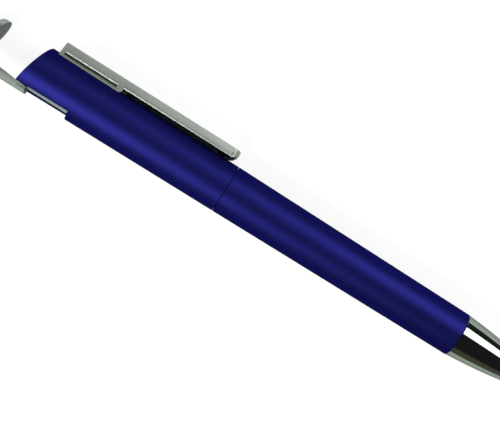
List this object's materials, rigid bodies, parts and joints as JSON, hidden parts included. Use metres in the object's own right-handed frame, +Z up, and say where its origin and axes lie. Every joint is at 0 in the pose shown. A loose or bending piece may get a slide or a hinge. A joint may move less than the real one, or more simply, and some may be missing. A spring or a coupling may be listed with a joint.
{
  "type": "stylus pen",
  "caption": "Twist-action ballpoint pen with a pocket clip, a rubber stylus and a phone stand that slides out of its back end.",
  "frame": {"origin": "on the surface that the pen lies on, under the middle of its bounding box, with the phone stand pulled out", "axes": "+X along the pen towards the writing tip, +Z up, and the clip towards +Y and a little down, where the pen rests on its nearer edge"},
  "size_m": [0.1612, 0.0162, 0.0128],
  "materials": {
    "blue_shell": "satin metallic blue lacquer on moulded plastic",
    "bright_plating": "polished, mirror plating on moulded plastic",
    "satin_plating": "satin silver plating on moulded plastic",
    "black_plastic": "matte moulded plastic",
    "white_plastic": "satin moulded plastic",
    "black_rubber": "matte conductive rubber",
    "spring_steel": "polished steel",
    "brass": "satin turned brass"
  },
  "bodies": {
    "lower_body": {"lower_barrel": "blue_shell", "nose_cone": "bright_plating", "coupling_bush": "black_plastic", "friction_ring": "black_rubber", "guide_sleeve": "white_plastic", "thrust_washer": "spring_steel", "mechanism_end_cap": "white_plastic", "return_spring": "spring_steel"},
    "cap": {"cap_shell": "blue_shell", "cam_sleeve": "white_plastic", "slide_guide": "black_plastic", "clip_foot": "satin_plating"},
    "clip": {"clip_arm": "satin_plating"},
    "stand": {"stand_hook": "satin_plating", "stylus_collar": "bright_plating", "stylus_tip": "black_rubber"},
    "refill": {"plunger": "black_plastic", "refill_tube": "white_plastic", "refill_tip": "brass", "writing_ball": "spring_steel"}
  },
  "joints": [
    {"name": "cap_twist", "type": "hinge", "parent": "lower_body", "child": "cap", "pos_m": [-0.0086, -0.00148, 0.0064], "axis": [1, 0, 0], "range_deg": [0, 180]},
    {"name": "refill_slide", "type": "slide", "parent": "lower_body", "child": "refill", "axis": [1, 0, 0], "range_m": [0, 0.0045], "deforming": ["return_spring"]},
    {"name": "stand_slide", "type": "slide", "parent": "cap", "child": "stand", "axis": [1, 0, 0], "range_m": [0, 0.01085]},
    {"name": "clip_flex", "type": "hinge", "parent": "cap", "child": "clip", "pos_m": [-0.04084, 0.00686, 0.00312], "axis": [0, 0.3659, 0.9306], "range_deg": [0, 3], "stiffness_Nm_per_rad": 2.7}
  ],
  "couplings": [
    {"joint": "refill_slide", "follows": "cap_twist", "m_per_rad": 0.0014324}
  ]
}
